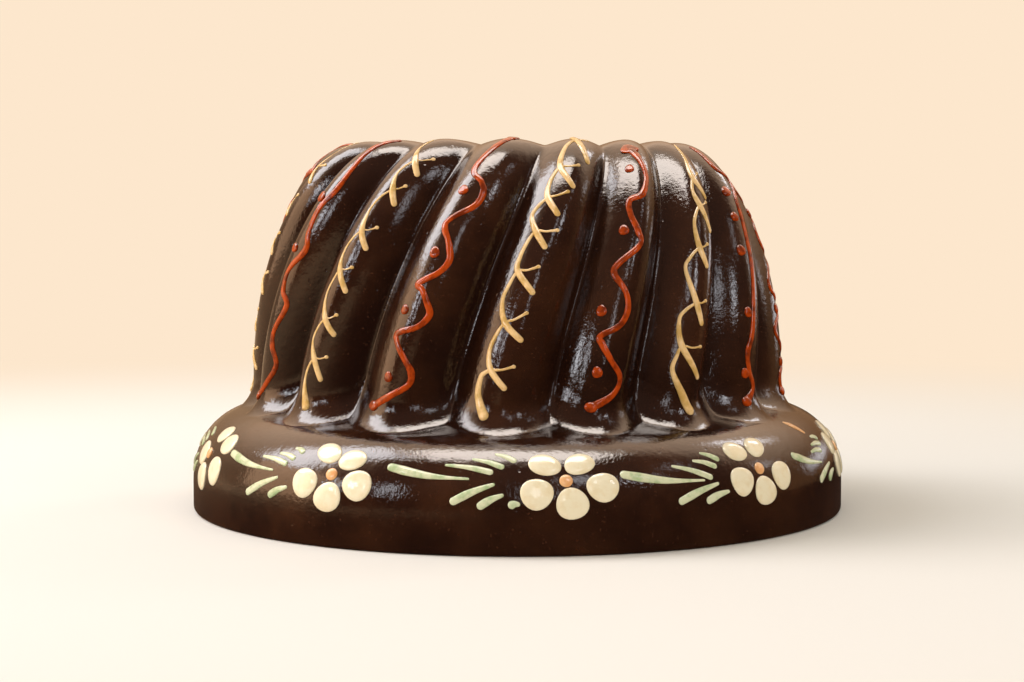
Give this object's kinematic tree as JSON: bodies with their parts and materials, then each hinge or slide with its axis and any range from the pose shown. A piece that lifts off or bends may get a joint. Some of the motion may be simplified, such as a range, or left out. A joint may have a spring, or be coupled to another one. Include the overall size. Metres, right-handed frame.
{
  "type": "gugelhupf mould",
  "caption": "Fluted ring cake mould in glazed earthenware, with twisted lobes, a rounded flange and a hollow centre tube, standing mouth down.",
  "frame": {"origin": "centre of the rim, in the plane of the rim, below the middle of the crown", "axes": "+Z from the open mouth up to the crown, +X to the right, and the side that the picture shows faces -Y"},
  "size_m": [0.23, 0.23, 0.128],
  "materials": {
    "glaze": "dark brown lead glaze",
    "slip_cream": "cream slip trailed on and glazed over",
    "slip_red": "rust red slip trailed on and glazed over",
    "slip_orange": "orange slip dots, glazed over",
    "slip_green": "pale green slip brushed on and glazed over"
  },
  "bodies": {
    "root": {"mould": "glaze"}
  },
  "joints": []
}
